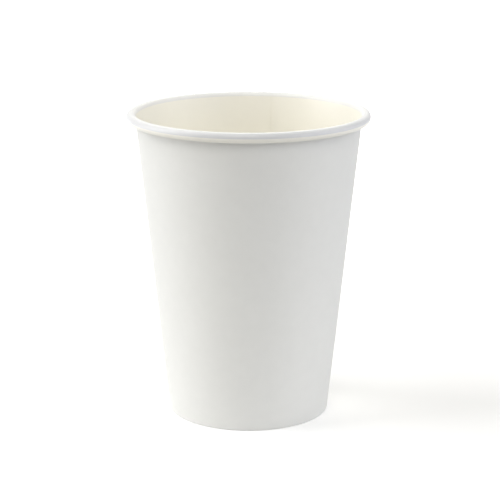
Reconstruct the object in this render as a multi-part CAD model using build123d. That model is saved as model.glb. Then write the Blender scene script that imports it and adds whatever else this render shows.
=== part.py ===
from build123d import *

import math
import os

# A single-wall paper cup for hot drinks, in two pieces of coated board.
# The sidewall is one fan-shaped blank, wrapped into a cone and sealed along a lapped
# side seam. Its top edge is rolled outwards into the rim, and its bottom edge is folded
# inwards around the skirt of the recessed bottom disc.
# Millimetres, +Z up, the origin at the centre of the ring that the cup stands on.

# The cup as a whole
CUP_HEIGHT = 114.0
RIM_DIAMETER = 90.0
BASE_DIAMETER = 60.0

# The board
WALL_BOARD = 0.35
DISC_BOARD = 0.30
SEAL_FILM = 0.02  # the coating that welds two layers, left as a gap between solids

# The rolled rim, seen as a section
ROLL_WIDTH = 3.45
ROLL_HEIGHT = 3.70
ROLL_UNDER_TURN = 90.0  # degrees, from straight down to straight inwards
ROLL_TUCK_TURN = 95.0  # the turn that climbs beside the wall
ROLL_TUCK_CLEARANCE = 0.10  # from that turn to the doubled wall of the side seam
ROLL_END_RADIUS = 0.80  # centreline of the last turn, hidden inside the roll
ROLL_END_TURN = 110.0

# The bottom end
DISC_TOP_HEIGHT = 9.0
DISC_SKIRT_BEND = 0.60  # inside radius where the disc turns down into its skirt
HEM_HEIGHT = 7.2
HEM_FOLD_RADIUS = 0.20  # centreline radius of the two bends of the fold
SKIRT_CLEARANCE = 0.06  # from the skirt's cut edge to the inside of the fold

# The lapped side seam
SEAM_AZIMUTH = 78.0  # degrees from +X: behind the cup, a little to the right
SEAM_LAP = 8.0
SEAM_RISE = 0.30  # how far the outer layer stands off the wall's own place
SEAM_RAMP = 13.0  # degrees over which the wall climbs on to the lap
SEAM_FOOT_MARGIN = 0.80  # the lap starts this far above the resting ring
SEAM_HEAD_MARGIN = 0.20  # and ends this far below the start of the roll

# One overrun serves every cut
OVERRUN = 0.05


def direction(degrees):
    """Unit vector at an angle from the first axis of the section or of the plan."""
    return Vector(math.cos(math.radians(degrees)), math.sin(math.radians(degrees)))


# The wall's centreline runs from the fold's outer corner to a tangent of the roll
roll_radius = (ROLL_WIDTH - WALL_BOARD) / 2
roll_centre = Vector(
    RIM_DIAMETER / 2 - WALL_BOARD / 2 - roll_radius,
    CUP_HEIGHT - WALL_BOARD / 2 - roll_radius,
)
roll_straight = ROLL_HEIGHT - ROLL_WIDTH
roll_foot = roll_centre - Vector(0, roll_straight + roll_radius)
wall_foot = Vector(BASE_DIAMETER / 2 - WALL_BOARD / 2, WALL_BOARD / 2)
foot_to_roll = roll_centre - wall_foot
wall_heading = math.degrees(
    math.atan2(foot_to_roll.Y, foot_to_roll.X)
    + math.asin(roll_radius / foot_to_roll.length)
)
wall_up = direction(wall_heading)
wall_inwards = direction(wall_heading + 90)
wall_head = roll_centre + wall_inwards * roll_radius

# The hidden turn of the roll is as wide as the space between its foot and the lap
foot_to_wall = (wall_head - roll_foot).dot(wall_inwards)
tuck_space = foot_to_wall - WALL_BOARD - SEAM_RISE - ROLL_TUCK_CLEARANCE
roll_tuck_radius = tuck_space / (1 + wall_inwards.Y)


def wall_point(height, inwards=0.0):
    """A point on the wall's centreline, or on a line parallel to it, at a height."""
    start = wall_foot + wall_inwards * inwards
    return start + wall_up * ((height - start.Y) / wall_up.Y)


def board_section(path, thickness):
    """The closed section of a sheet of board with square cut ends, from its middle line."""
    left = path.offset_2d(thickness / 2, side=Side.LEFT, closed=False)
    right = path.offset_2d(thickness / 2, side=Side.RIGHT, closed=False)
    cut_ends = [Line(left @ 0, right @ 1), Line(left @ 1, right @ 0)]
    return Plane.XZ * make_face([*left.edges(), *right.edges(), *cut_ends])


def hem_and_wall():
    """The middle line from the hem's cut edge down, round the fold and up the wall."""
    layers = WALL_BOARD + DISC_BOARD + 2 * SEAL_FILM
    hem_top = wall_point(HEM_HEIGHT, layers)
    inner_corner = wall_point(wall_foot.Y, layers)
    return FilletPolyline(
        hem_top, inner_corner, wall_foot, wall_head, radius=HEM_FOLD_RADIUS
    )


def rim_roll():
    """The middle line from the wall's head over, down, under and back up inside."""
    over = JernArc(wall_head, wall_up, roll_radius, -(wall_heading + 90))
    down = Line(over @ 1, over @ 1 + direction(-90) * roll_straight)
    under = JernArc(down @ 1, down % 1, roll_radius, -ROLL_UNDER_TURN)
    tuck = JernArc(under @ 1, under % 1, roll_tuck_radius, -ROLL_TUCK_TURN)
    end = JernArc(tuck @ 1, tuck % 1, ROLL_END_RADIUS, -ROLL_END_TURN)
    return [over, down, under, tuck, end]


def seam_section(outwards=0.0, spare=0.0):
    """The part of the straight wall's section that the side seam takes up."""
    foot = wall_point(SEAM_FOOT_MARGIN)
    head = wall_point(wall_head.Y - SEAM_HEAD_MARGIN)
    across = (WALL_BOARD / 2 + spare) / wall_up.Y
    outline = Polyline(
        (foot.X + outwards - across, foot.Y),
        (foot.X + outwards + across, foot.Y),
        (head.X + outwards + across, head.Y),
        (head.X + outwards - across, head.Y),
        close=True,
    )
    return Plane.XZ * make_face(outline)


def lapped(ring):
    """The ring with its wall led up on to the start of itself, as a lap beside +X."""
    # The ramp turns about a pole set beside the cup's axis, which moves it outwards
    gap = revolve(seam_section(spare=OVERRUN), Axis.Z, -SEAM_RAMP)
    pole_distance = SEAM_RISE / 2 / math.sin(math.radians(SEAM_RAMP / 2))
    pole_place = direction(90 - SEAM_RAMP / 2) * pole_distance
    ramp = revolve(seam_section(SEAM_RISE), Axis(pole_place, (0, 0, 1)), -SEAM_RAMP)

    # The lap keeps one width, so its sector is trimmed parallel to the inner edge
    widest = math.degrees(math.asin((SEAM_LAP + WALL_BOARD) / wall_foot.X))
    lap = revolve(seam_section(SEAM_RISE), Axis.Z, widest)
    lap = split(lap, Plane((0, SEAM_LAP, 0), z_dir=(0, 1, 0)), keep=Keep.BOTTOM)
    return ring - gap + ramp + lap


def sidewall():
    """The wrapped blank: hem, wall and rolled rim, with its lapped side seam."""
    path = Wire(hem_and_wall().edges() + [arc.edge() for arc in rim_roll()])
    ring = revolve(board_section(path, WALL_BOARD), Axis.Z)
    return Rot(Z=SEAM_AZIMUTH) * lapped(ring)


def bottom_disc():
    """The disc that closes the cup, its edge turned down between wall and hem."""
    inwards = (WALL_BOARD + DISC_BOARD) / 2 + SEAL_FILM
    middle = DISC_TOP_HEIGHT - DISC_BOARD / 2
    path = FilletPolyline(
        (0, middle),
        wall_point(middle, inwards),
        wall_point(WALL_BOARD + SKIRT_CLEARANCE, inwards),
        radius=DISC_SKIRT_BEND + DISC_BOARD / 2,
    )
    return revolve(board_section(path, DISC_BOARD), Axis.Z)


os.makedirs("parts", exist_ok=True)
export_step(sidewall(), "parts/sidewall.step")
export_step(bottom_disc(), "parts/bottom_disc.step")
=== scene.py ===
import math

import bmesh
import bpy
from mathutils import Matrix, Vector


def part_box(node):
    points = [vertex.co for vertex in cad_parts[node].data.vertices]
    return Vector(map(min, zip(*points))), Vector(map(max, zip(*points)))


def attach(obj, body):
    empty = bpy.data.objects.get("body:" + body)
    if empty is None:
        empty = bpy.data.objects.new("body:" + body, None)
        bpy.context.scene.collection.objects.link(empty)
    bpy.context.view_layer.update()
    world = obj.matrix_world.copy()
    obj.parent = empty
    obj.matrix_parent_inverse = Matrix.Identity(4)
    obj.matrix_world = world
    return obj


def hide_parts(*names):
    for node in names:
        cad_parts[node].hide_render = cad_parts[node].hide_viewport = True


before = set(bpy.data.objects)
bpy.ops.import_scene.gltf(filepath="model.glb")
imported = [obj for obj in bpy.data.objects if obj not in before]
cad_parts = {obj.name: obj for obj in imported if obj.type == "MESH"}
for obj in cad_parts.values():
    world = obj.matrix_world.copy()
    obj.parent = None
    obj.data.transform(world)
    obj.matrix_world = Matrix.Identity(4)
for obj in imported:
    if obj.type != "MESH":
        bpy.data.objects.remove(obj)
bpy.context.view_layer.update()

# A plain white single-wall paper cup: one wrapped and rolled blank, and one bottom disc.
# Everything is in metres. The cup's outer sizes come from the frame.
rim_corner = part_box("sidewall")[1]
MM = 0.001
CUP_HEIGHT = rim_corner.z
RIM_RADIUS = min(rim_corner.x, rim_corner.y)
BASE_RADIUS = 30.0 * MM

# The board
WALL_BOARD = 0.35 * MM
DISC_BOARD = 0.30 * MM
SEAL_FILM = 0.02 * MM
WELD_DISTANCE = SEAL_FILM / 10

# The rolled rim, seen as a section. Turns are in degrees
ROLL_WIDTH = 3.45 * MM
ROLL_HEIGHT = 3.70 * MM
ROLL_UNDER_TURN = 90.0
ROLL_TUCK_TURN = 95.0
ROLL_TUCK_CLEARANCE = 0.10 * MM
ROLL_END_RADIUS = 0.80 * MM
ROLL_END_TURN = 110.0

# The bottom end, with the fluted inner face of its hem
DISC_TOP_HEIGHT = 9.0 * MM
DISC_SKIRT_BEND = 0.60 * MM
HEM_HEIGHT = 7.2 * MM
HEM_FOLD_RADIUS = 0.20 * MM
SKIRT_CLEARANCE = 0.06 * MM
FLUTE_DEPTH = 0.06 * MM
FLUTE_COUNT = 120
FLUTE_LOW = 1.4 * MM
FLUTE_HIGH = 5.8 * MM
FLUTE_FADE = 0.6 * MM

# The lapped side seam. The outer layer rises over a ramp onto the inner one, whose own edge
# is pressed outwards. The lap grows from its foot to its full rise, and the roll flattens it
SEAM_AZIMUTH = 78.0
SEAM_LAP = 8.0 * MM
SEAM_RAMP_TURN = 13.0
SEAM_RISE = 0.30 * MM
SEAM_PRESS = 0.16 * MM
SEAM_PRESS_TURN = 4.5
SEAM_FOOT = 0.8 * MM
SEAM_FULL = 1.8 * MM
ROLL_LAP_SHARE = 0.4
ROLL_LAP_ROWS = 12

# How finely the pieces are divided round the cup
BLANK_COLUMNS = 480
LAP_COLUMNS = 6
DISC_COLUMNS = 240

# How finely their sections are divided
HEM_ROWS = 9
FOLD_ROWS = 4
SEAM_FOOT_ROWS = 2
WALL_ROWS = 10
ROLL_TOP_ROWS = 20
ROLL_UNDER_ROWS = 10
ROLL_TUCK_ROWS = 6
ROLL_END_ROWS = 5
DISC_ROWS = 12
DISC_BEND_ROWS = 6
SKIRT_ROWS = 2
SHARP_ANGLE = 40.0

# Material numbers: the face that a sheet starts with, the one made behind it, and the cut
# edges between them. The roll has two more, its first rows inside the rim and its band, both painted
# shade
OWN_FACE = 0
FAR_FACE = 1
CUT_FACE = 2
SHADED_ROLL_BAND = 3
SHADED_ROLL_INSIDE = 4
ROLL_INSIDE_ROWS = 7

# The board's face: clouds in its colour, short fibres, and long shallow waves
CLOUDS = {"Scale": 240.0, "Detail": 4.0, "Roughness": 0.6}
FIBRES = {"Scale": 2600.0, "Detail": 3.0, "Roughness": 0.65, "Distortion": 1.4}
WAVES = {"Scale": 55.0, "Detail": 2.0, "Roughness": 0.5}
FIBRE_HEIGHT = 0.02 * MM
WAVE_HEIGHT = 0.10 * MM
WAVE_RELIEF = 0.15
ROUGHNESS_SPREAD = 0.06
LINING_COAT = {"Coat Weight": 0.15, "Coat Roughness": 0.25}
ROLLED_COAT = {"Coat Weight": 0.20, "Coat Roughness": 0.25}

# The camera stands where the photograph's did
LOOK_HEIGHT = 57.0 * MM
CAMERA_DISTANCE = 681.0 * MM
CAMERA_ELEVATION = 14.8
CAMERA_LENS = 130.3
CAMERA_SHIFT_X = 0.0025
CAMERA_SHIFT_Y = 0.021
CAMERA_NEAR = 0.01
CAMERA_FAR = 20.0

# The table. It lights the cup in full out to one radius and keeps its own shade to the eye
# out to another. Past its edge it is as white as the room and lights nothing
TABLE_RADIUS = 4.0
TABLE_SIDES = 96
TABLE_DROP = 0.02 * MM
TABLE_SHADE = 0.8
TABLE_LIGHTS_TO = 0.20
TABLE_SHADED_TO = 0.08
TABLE_EDGE = 0.40
TABLE_GLOW = 0.31

# The recess under the cup is closed by the table, which therefore lights it
RECESS_LIT = 29.0 * MM
RECESS_DARK = 29.8 * MM
RECESS_GLOW = 0.40

# Each lamp: where it hangs, its width and height, its power in watts and its colour
LAMPS = {
    "high left softbox": ((-0.8, 0.0, 1.0), (0.8, 0.8), 5.8, (0.98, 0.99, 1.0)),
    "low left softbox": ((-1.0, 0.0, 0.35), (0.8, 0.8), 6.7, (0.98, 0.985, 1.0)),
    "high right softbox": ((0.8, 0.0, 1.0), (0.8, 0.8), 2.2, (1.0, 1.0, 0.90)),
    "low right softbox": ((1.0, 0.0, 0.35), (0.8, 0.8), 3.1, (0.92, 0.93, 1.0)),
    "right front softbox": ((0.8, -0.6, 0.35), (0.8, 0.8), 2.3, (0.80, 0.85, 1.0)),
    "front softbox": ((0.0, -0.9, 0.9), (0.9, 0.7), 5.5, (1.0, 0.98, 0.92)),
    "rear softbox": ((0.0, 0.9, 0.9), (0.9, 0.7), 5.4, (1.0, 0.96, 0.86)),
}


# The cup's section

def direction(degrees):
    """Unit vector in the section plane, radius first, from a heading in degrees."""
    return Vector((math.cos(math.radians(degrees)), math.sin(math.radians(degrees))))


def smooth_share(value, low, high):
    """0 below low, 1 above high, and an even S-curve between them."""
    share = min(max((value - low) / (high - low), 0.0), 1.0)
    return share * share * (3 - 2 * share)


# The wall runs from the fold's outer corner to a tangent of the roll
roll_radius = (ROLL_WIDTH - WALL_BOARD) / 2
roll_centre = Vector((
    RIM_RADIUS - WALL_BOARD / 2 - roll_radius,
    CUP_HEIGHT - WALL_BOARD / 2 - roll_radius,
))
wall_foot = Vector((BASE_RADIUS - WALL_BOARD / 2, WALL_BOARD / 2))
foot_to_roll = roll_centre - wall_foot
wall_heading = math.degrees(
    math.atan2(foot_to_roll.y, foot_to_roll.x)
    + math.asin(roll_radius / foot_to_roll.length)
)
wall_up = direction(wall_heading)
wall_inwards = direction(wall_heading + 90)
wall_head = roll_centre + wall_inwards * roll_radius

# The roll's hidden turn is as wide as the space between its foot and the lapped seam
roll_straight = ROLL_HEIGHT - ROLL_WIDTH
roll_foot = roll_centre - Vector((0, roll_straight + roll_radius))
foot_to_wall = (wall_head - roll_foot).dot(wall_inwards)
tuck_space = foot_to_wall - WALL_BOARD - SEAM_RISE - ROLL_TUCK_CLEARANCE
roll_tuck_radius = tuck_space / (1 + wall_inwards.y)


def wall_point(height, inwards=0.0):
    """A point on the wall's middle line, or on a line parallel to it, at a height."""
    start = wall_foot + wall_inwards * inwards
    return start + wall_up * ((height - start.y) / wall_up.y)


class BoardLine:
    """The middle line of a board in section. Each straight or bend gives its last row."""

    def __init__(self, place, heading):
        self.place = place.copy()
        self.heading = heading
        self.points = [(self.place, heading)]

    def straight(self, length, rows=1):
        for _ in range(rows):
            self.place = self.place + direction(self.heading) * (length / rows)
            self.points.append((self.place, self.heading))
        return len(self.points) - 1

    def bend(self, radius, turn, rows):
        """Turns to the left by that many degrees, or to the right if it is negative."""
        side = 90 if turn > 0 else -90
        centre = self.place + direction(self.heading + side) * radius
        for _ in range(rows):
            self.heading += turn / rows
            self.place = centre - direction(self.heading + side) * radius
            self.points.append((self.place, self.heading))
        return len(self.points) - 1


# Sheets and boards

def spun_sheet(line, steps, angle):
    """A sheet spun about the cup's axis from a section line. Each vertex keeps its row."""
    sheet = bmesh.new()
    row = sheet.verts.layers.int.new("row")
    verts = []
    for number, (place, _) in enumerate(line.points):
        vert = sheet.verts.new((place.x, 0, place.y))
        vert[row] = number
        verts.append(vert)
    edges = [sheet.edges.new(pair) for pair in zip(verts, verts[1:])]
    bmesh.ops.spin(
        sheet, geom=verts + edges, cent=(0, 0, 0), axis=(0, 0, 1), dvec=(0, 0, 0),
        angle=angle, steps=steps, use_merge=angle >= math.tau, use_duplicate=False,
    )
    return sheet, row


def face_towards(sheet, viewpoint):
    """Turns the whole sheet so that its face nearest to a viewpoint looks at it."""
    bmesh.ops.recalc_face_normals(sheet, faces=sheet.faces)
    sheet.normal_update()
    nearest = min(sheet.faces, key=lambda face: (face.calc_center_median() - viewpoint).length)
    if nearest.normal.dot(viewpoint - nearest.calc_center_median()) < 0:
        bmesh.ops.reverse_faces(sheet, faces=sheet.faces)


def thicken(sheet, thickness):
    """Turns a sheet into board, away from its normals, and numbers its three kinds of face."""
    own_side = set(sheet.verts)
    bmesh.ops.solidify(sheet, geom=list(sheet.faces), thickness=thickness)
    for face in sheet.faces:
        on_own_side = sum(vert in own_side for vert in face.verts)
        if on_own_side == len(face.verts):
            face.material_index = OWN_FACE
        elif on_own_side == 0:
            face.material_index = FAR_FACE
        else:
            face.material_index = CUT_FACE
        face.smooth = True
    sheet.normal_update()
    for edge in sheet.edges:
        edge.smooth = edge.calc_face_angle(0.0) < math.radians(SHARP_ANGLE)


def finished_piece(name, sheet, materials):
    """Makes the mesh an object at the origin, with its materials in order."""
    mesh = bpy.data.meshes.new(name)
    sheet.to_mesh(mesh)
    sheet.free()
    for material in materials:
        mesh.materials.append(material)
    piece = bpy.data.objects.new(name, mesh)
    bpy.context.scene.collection.objects.link(piece)
    return piece


# The sidewall's blank

def blank_section():
    """The blank's line from its hem to the end of its roll, and the rows that matter on it."""
    layers = WALL_BOARD + DISC_BOARD + 2 * SEAL_FILM
    hem_top = wall_point(HEM_HEIGHT, layers)
    inner_corner = wall_point(wall_foot.y, layers)
    inner_turn = 180 - wall_heading
    inner_reach = HEM_FOLD_RADIUS * math.tan(math.radians(inner_turn / 2))
    outer_reach = HEM_FOLD_RADIUS * math.tan(math.radians(wall_heading / 2))
    line = BoardLine(hem_top, wall_heading + 180)
    ends = {"hem": line.straight((hem_top - inner_corner).length - inner_reach, HEM_ROWS)}
    line.bend(HEM_FOLD_RADIUS, inner_turn, FOLD_ROWS)
    line.straight((wall_foot - inner_corner).length - inner_reach - outer_reach)
    line.bend(HEM_FOLD_RADIUS, wall_heading, FOLD_ROWS)
    ends["seam foot"] = line.straight(SEAM_FOOT)
    line.straight(SEAM_FULL - SEAM_FOOT, SEAM_FOOT_ROWS)
    ends["wall"] = line.straight((wall_head - line.place).length, WALL_ROWS)
    line.bend(roll_radius, -(wall_heading + 90), ROLL_TOP_ROWS)
    ends["roll band"] = line.straight(roll_straight)
    line.bend(roll_radius, -ROLL_UNDER_TURN, ROLL_UNDER_ROWS)
    line.bend(roll_tuck_radius, -ROLL_TUCK_TURN, ROLL_TUCK_ROWS)
    line.bend(ROLL_END_RADIUS, -ROLL_END_TURN, ROLL_END_ROWS)
    return line, ends


def stand_off(number, height, azimuth, ends):
    """How far a spot of the blank stands off its plain line, outwards. Azimuth 0 is the seam."""
    if number <= ends["hem"]:
        fluted = smooth_share(height, FLUTE_LOW, FLUTE_LOW + FLUTE_FADE)
        fluted *= 1 - smooth_share(height, FLUTE_HIGH - FLUTE_FADE, FLUTE_HIGH)
        return -FLUTE_DEPTH * fluted * (0.5 + 0.5 * math.cos(FLUTE_COUNT * azimuth))
    rise = SEAM_RISE * smooth_share(azimuth, math.radians(360 - SEAM_RAMP_TURN), math.tau)
    rise += SEAM_PRESS * (1 - smooth_share(azimuth, 0.0, math.radians(SEAM_PRESS_TURN)))
    rise *= smooth_share(height, SEAM_FOOT, SEAM_FULL)
    if number > ends["wall"]:
        flattened = smooth_share(number, ends["wall"], ends["wall"] + ROLL_LAP_ROWS)
        rise *= 1 - (1 - ROLL_LAP_SHARE) * flattened
    return rise


def wrap(sheet, row, line, ends):
    """Wraps a blank that is spun through a quarter turn round the whole cup, and laps it.

    The vertices of the lap's second layer get row numbers past those of the first."""
    turn_share = BLANK_COLUMNS / (BLANK_COLUMNS + LAP_COLUMNS)
    for vert in sheet.verts:
        number = vert[row]
        place, heading = line.points[number]
        share = math.atan2(vert.co.y, vert.co.x) / (math.pi / 2)
        past_seam = max(share - turn_share, 0.0) / (1 - turn_share)
        azimuth = min(share / turn_share, 1.0) * math.tau
        outwards = WALL_BOARD / 2 + stand_off(number, place.y, azimuth, ends)
        azimuth += past_seam * SEAM_LAP / place.x + math.radians(SEAM_AZIMUTH)
        spot = place + direction(heading - 90) * outwards
        vert.co = (spot.x * math.cos(azimuth), spot.x * math.sin(azimuth), spot.y)
        in_lap = round(past_seam * LAP_COLUMNS) > 0
        vert[row] = number + len(line.points) if in_lap else number


def press_lap_foot(sheet, row, rows, foot):
    """Leaves one layer of board below the seam's foot, and joins its two ends there."""
    spare = [face for face in sheet.faces if any(rows <= v[row] < rows + foot for v in face.verts)]
    bmesh.ops.delete(sheet, geom=spare, context="FACES")
    low = [v for v in sheet.verts if v[row] % rows <= foot]
    bmesh.ops.remove_doubles(sheet, verts=low, dist=WELD_DISTANCE)


def paint_roll_shade(sheet, row, rows, ends):
    """Paints the lined face darker where it turns outwards over the rim: painted shade."""
    for face in sheet.faces:
        first = min(v[row] % rows for v in face.verts)
        last = max(v[row] % rows for v in face.verts)
        if face.material_index == FAR_FACE and first >= ends["wall"] and last <= ends["roll band"]:
            # The first rows inside the rim and the band take darker copies of the lining: painted shade
            inside = last <= ends["wall"] + ROLL_INSIDE_ROWS
            face.material_index = SHADED_ROLL_INSIDE if inside else SHADED_ROLL_BAND


def wrapped_blank(materials):
    """The sidewall: one blank, wrapped, lapped at its side seam, hemmed and rolled."""
    line, ends = blank_section()
    rows = len(line.points)
    sheet, row = spun_sheet(line, BLANK_COLUMNS + LAP_COLUMNS, math.pi / 2)
    wrap(sheet, row, line, ends)
    press_lap_foot(sheet, row, rows, ends["seam foot"])
    just_before_wall = Vector((0, -wall_point(LOOK_HEIGHT).x - MM, LOOK_HEIGHT))
    face_towards(sheet, just_before_wall)
    thicken(sheet, WALL_BOARD)
    paint_roll_shade(sheet, row, rows, ends)
    return finished_piece("wrapped_blank", sheet, materials)


# The bottom disc

def pressed_disc(materials):
    """The bottom disc with its edge turned down into the skirt."""
    inwards = (WALL_BOARD + DISC_BOARD) / 2 + SEAL_FILM
    middle = DISC_TOP_HEIGHT - DISC_BOARD / 2
    corner = wall_point(middle, inwards)
    foot = wall_point(WALL_BOARD + SKIRT_CLEARANCE, inwards)
    bend_radius = DISC_SKIRT_BEND + DISC_BOARD / 2
    turn = 180 - wall_heading
    reach = bend_radius * math.tan(math.radians(turn / 2))
    line = BoardLine(Vector((0, middle)), 0.0)
    line.straight(corner.x - reach, DISC_ROWS)
    line.bend(bend_radius, -turn, DISC_BEND_ROWS)
    line.straight((corner - foot).length - reach, SKIRT_ROWS)

    sheet, row = spun_sheet(line, DISC_COLUMNS, math.tau)
    for vert in sheet.verts:
        place, heading = line.points[vert[row]]
        around = Vector((vert.co.x, vert.co.y)).normalized() if place.x > 0 else Vector((0, 0))
        spot = place + direction(heading + 90) * (DISC_BOARD / 2)
        vert.co = (*(around * spot.x), spot.y)
    bmesh.ops.remove_doubles(sheet, verts=sheet.verts, dist=WELD_DISTANCE)
    face_towards(sheet, Vector((0, 0, CUP_HEIGHT)))
    thicken(sheet, DISC_BOARD)
    return finished_piece("pressed_disc", sheet, materials)


# Materials

def node_maker(tree):
    """A short call that adds a node to a tree, sets its values and links its inputs."""

    def make(kind, inputs=None, **settings):
        node = tree.nodes.new(kind)
        for name, value in settings.items():
            setattr(node, name, value)
        for name, value in (inputs or {}).items():
            if isinstance(value, bpy.types.NodeSocket):
                tree.links.new(value, node.inputs[name])
            else:
                node.inputs[name].default_value = value
        return node

    return make


def empty_tree(owner):
    """Clears a material's or the world's nodes, and gives its node maker."""
    owner.use_nodes = True
    owner.node_tree.nodes.clear()
    return node_maker(owner.node_tree)


def varied(make, noise, amount, level):
    """A value that a noise swings evenly about its level, by the amount in all."""
    centred = make("ShaderNodeMath", {0: noise.outputs["Fac"], 1: 0.5}, operation="SUBTRACT")
    swing = make("ShaderNodeMath", {0: centred.outputs[0], 1: amount}, operation="MULTIPLY")
    return make("ShaderNodeMath", {0: swing.outputs[0], 1: level}, operation="ADD").outputs[0]


def board_surface_group():
    """Board as it is made: cloudy formation in its colour, and short fibres in its face."""
    group = bpy.data.node_groups.new("board surface", "ShaderNodeTree")
    for name, kind, way in (
        ("Colour", "NodeSocketColor", "INPUT"), ("Cloud", "NodeSocketFloat", "INPUT"),
        ("Roughness", "NodeSocketFloat", "INPUT"), ("Fibre Relief", "NodeSocketFloat", "INPUT"),
        ("Colour", "NodeSocketColor", "OUTPUT"), ("Roughness", "NodeSocketFloat", "OUTPUT"),
        ("Normal", "NodeSocketVector", "OUTPUT"),
    ):
        group.interface.new_socket(name, in_out=way, socket_type=kind)
    make = node_maker(group)
    given = make("NodeGroupInput").outputs
    place = make("ShaderNodeTexCoord").outputs["Object"]
    clouds = make("ShaderNodeTexNoise", {"Vector": place, **CLOUDS})
    fibres = make("ShaderNodeTexNoise", {"Vector": place, **FIBRES})
    waves = make("ShaderNodeTexNoise", {"Vector": place, **WAVES})

    tone = varied(make, clouds, given["Cloud"], 1.0)
    colour = make("ShaderNodeVectorMath", {0: given["Colour"], "Scale": tone}, operation="SCALE")
    roughness = varied(make, fibres, ROUGHNESS_SPREAD, given["Roughness"])
    wave_bump = make("ShaderNodeBump", {
        "Strength": WAVE_RELIEF, "Distance": WAVE_HEIGHT, "Height": waves.outputs["Fac"],
    })
    fibre_bump = make("ShaderNodeBump", {
        "Strength": given["Fibre Relief"], "Distance": FIBRE_HEIGHT, "Height": fibres.outputs["Fac"],
        "Normal": wave_bump.outputs["Normal"],
    })
    make("NodeGroupOutput", {
        "Colour": colour.outputs[0], "Roughness": roughness, "Normal": fibre_bump.outputs["Normal"],
    })
    return group


def board_material(name, surface, colour, roughness, fibre, cloud=0.03, coat=None):
    """One face of the board. The shader's own sockets take what is even all over it."""
    material = bpy.data.materials.new(name)
    make = empty_tree(material)
    board = make("ShaderNodeGroup", node_tree=surface)
    for socket, value in (
        ("Colour", (*colour, 1)), ("Cloud", cloud), ("Roughness", roughness), ("Fibre Relief", fibre),
    ):
        board.inputs[socket].default_value = value
    face = make("ShaderNodeBsdfPrincipled", {
        "Base Color": board.outputs["Colour"],
        "Roughness": board.outputs["Roughness"],
        "Normal": board.outputs["Normal"],
        **(coat or {}),
    })
    make("ShaderNodeOutputMaterial", {"Surface": face.outputs["BSDF"]})
    return material


# The room

def seen_directly(make):
    """1 for what the camera sees straight or mirrored, and 0 for what lights the cup."""
    path = make("ShaderNodeLightPath").outputs
    straight = make(
        "ShaderNodeMath", {0: path["Is Camera Ray"], 1: path["Is Glossy Ray"]}, operation="MAXIMUM",
    )
    seen = make(
        "ShaderNodeMath", {0: straight.outputs[0], 1: path["Is Transmission Ray"]}, operation="MAXIMUM",
    )
    return seen.outputs[0]


def table_material():
    """A white table. It lights the cup from below, and looks as white as the room."""
    material = bpy.data.materials.new("white table")
    make = empty_tree(material)
    place = make("ShaderNodeTexCoord").outputs["Object"]
    reach = make("ShaderNodeVectorMath", {0: place}, operation="LENGTH").outputs["Value"]

    def fade(near, far, at_near, at_far, curve):
        """A value that changes with the distance from the cup's middle."""
        node = make("ShaderNodeMapRange", {
            "Value": reach, "From Min": near, "From Max": far, "To Min": at_near, "To Max": at_far,
        }, interpolation_type=curve)
        return node.outputs["Result"]

    # What lights the cup
    shade = fade(TABLE_LIGHTS_TO, TABLE_EDGE, TABLE_SHADE, 0.0, "SMOOTHSTEP")
    bounce = make("ShaderNodeBsdfDiffuse", {"Color": shade})
    recess_glow = fade(RECESS_LIT, RECESS_DARK, RECESS_GLOW, 0.0, "LINEAR")
    recess_light = make("ShaderNodeEmission", {"Strength": recess_glow})
    lighting = make("ShaderNodeAddShader", {0: bounce.outputs[0], 1: recess_light.outputs[0]})

    # What the camera sees
    paper = make("ShaderNodeBsdfDiffuse", {"Color": (TABLE_SHADE, TABLE_SHADE, TABLE_SHADE, 1)})
    whitening = fade(TABLE_SHADED_TO, TABLE_EDGE, TABLE_GLOW, 1.0, "SMOOTHSTEP")
    glow = make("ShaderNodeEmission", {"Color": (1, 1, 1, 1), "Strength": whitening})
    seen = make("ShaderNodeAddShader", {0: paper.outputs[0], 1: glow.outputs[0]})
    top = make("ShaderNodeMixShader", {
        "Fac": seen_directly(make), 1: lighting.outputs[0], 2: seen.outputs[0],
    })

    # From below it is clear, so that the cup's underside can be looked at
    from_below = make("ShaderNodeNewGeometry").outputs["Backfacing"]
    clear = make("ShaderNodeBsdfTransparent")
    face = make("ShaderNodeMixShader", {"Fac": from_below, 1: top.outputs[0], 2: clear.outputs[0]})
    make("ShaderNodeOutputMaterial", {"Surface": face.outputs[0]})
    return material


def table():
    """The floor under the cup."""
    sheet = bmesh.new()
    bmesh.ops.create_circle(sheet, cap_ends=True, segments=TABLE_SIDES, radius=TABLE_RADIUS)
    floor = finished_piece("table", sheet, [table_material()])
    floor.location.z = -TABLE_DROP


def white_room():
    """Plain white all round, which the camera sees but which lights nothing."""
    world = bpy.data.worlds.new("white room")
    bpy.context.scene.world = world
    make = empty_tree(world)
    white = make("ShaderNodeBackground", {"Color": (1, 1, 1, 1), "Strength": seen_directly(make)})
    make("ShaderNodeOutputWorld", {"Surface": white.outputs[0]})


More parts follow.
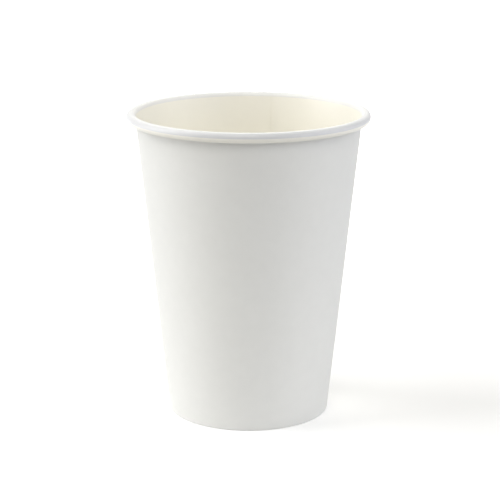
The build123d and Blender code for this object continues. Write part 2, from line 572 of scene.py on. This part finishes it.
def lamps():
    """Softboxes all round, each turned to the middle of the cup."""
    for name, (place, size, power, colour) in LAMPS.items():
        data = bpy.data.lights.new(name, "AREA")
        data.shape = "RECTANGLE"
        data.size, data.size_y = size
        data.energy = power
        data.color = colour
        lamp = bpy.data.objects.new(name, data)
        lamp.location = place
        aim = Vector((0, 0, LOOK_HEIGHT)) - lamp.location
        lamp.rotation_euler = aim.to_track_quat("-Z", "Y").to_euler()
        bpy.context.scene.collection.objects.link(lamp)


def camera():
    """The photograph's view: a long lens, a little above the rim."""
    data = bpy.data.cameras.new("camera")
    data.lens = CAMERA_LENS
    data.shift_x = CAMERA_SHIFT_X
    data.shift_y = CAMERA_SHIFT_Y
    data.clip_start = CAMERA_NEAR
    data.clip_end = CAMERA_FAR
    eye = bpy.data.objects.new("camera", data)
    elevation = math.radians(CAMERA_ELEVATION)
    back = Vector((0, -math.cos(elevation), math.sin(elevation)))
    eye.location = Vector((0, 0, LOOK_HEIGHT)) + back * CAMERA_DISTANCE
    eye.rotation_euler = (math.radians(90 - CAMERA_ELEVATION), 0, 0)
    bpy.context.scene.collection.objects.link(eye)
    bpy.context.scene.camera = eye


bpy.context.scene.view_settings.view_transform = "Standard"
camera()
lamps()
white_room()
table()

surface = board_surface_group()
outside_face = board_material(
    "outside face", surface, (0.855, 0.852, 0.82), roughness=0.62, fibre=0.35, cloud=0.045,
)
lined_face = board_material(
    "lined face", surface, (0.96, 0.935, 0.85), roughness=0.38, fibre=0.12, coat=LINING_COAT,
)
# The roll's band is the same lining, painted darker and cooler: painted shade
painted_shade_roll_band = board_material(
    "shaded band of the roll", surface, (0.755, 0.755, 0.758), roughness=0.40, fibre=0.15, coat=ROLLED_COAT,
)
# The roll's first rows inside the rim are the same lining, painted darker: painted shade
painted_shade_roll_inside = board_material(
    "shaded inside of the roll", surface, (0.87, 0.865, 0.845), roughness=0.40, fibre=0.12,
    coat=LINING_COAT,
)
cut_edge = board_material(
    "cut edge", surface, (0.92, 0.905, 0.86), roughness=0.80, fibre=0.5, cloud=0.06,
)
disc_under = board_material(
    "disc underside", surface, (0.84, 0.84, 0.81), roughness=0.70, fibre=0.55, cloud=0.05,
)

blank = wrapped_blank([outside_face, lined_face, cut_edge, painted_shade_roll_band, painted_shade_roll_inside])
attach(blank, "root")
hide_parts("sidewall")

disc = pressed_disc([lined_face, disc_under, cut_edge])
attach(disc, "root")
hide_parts("bottom_disc")
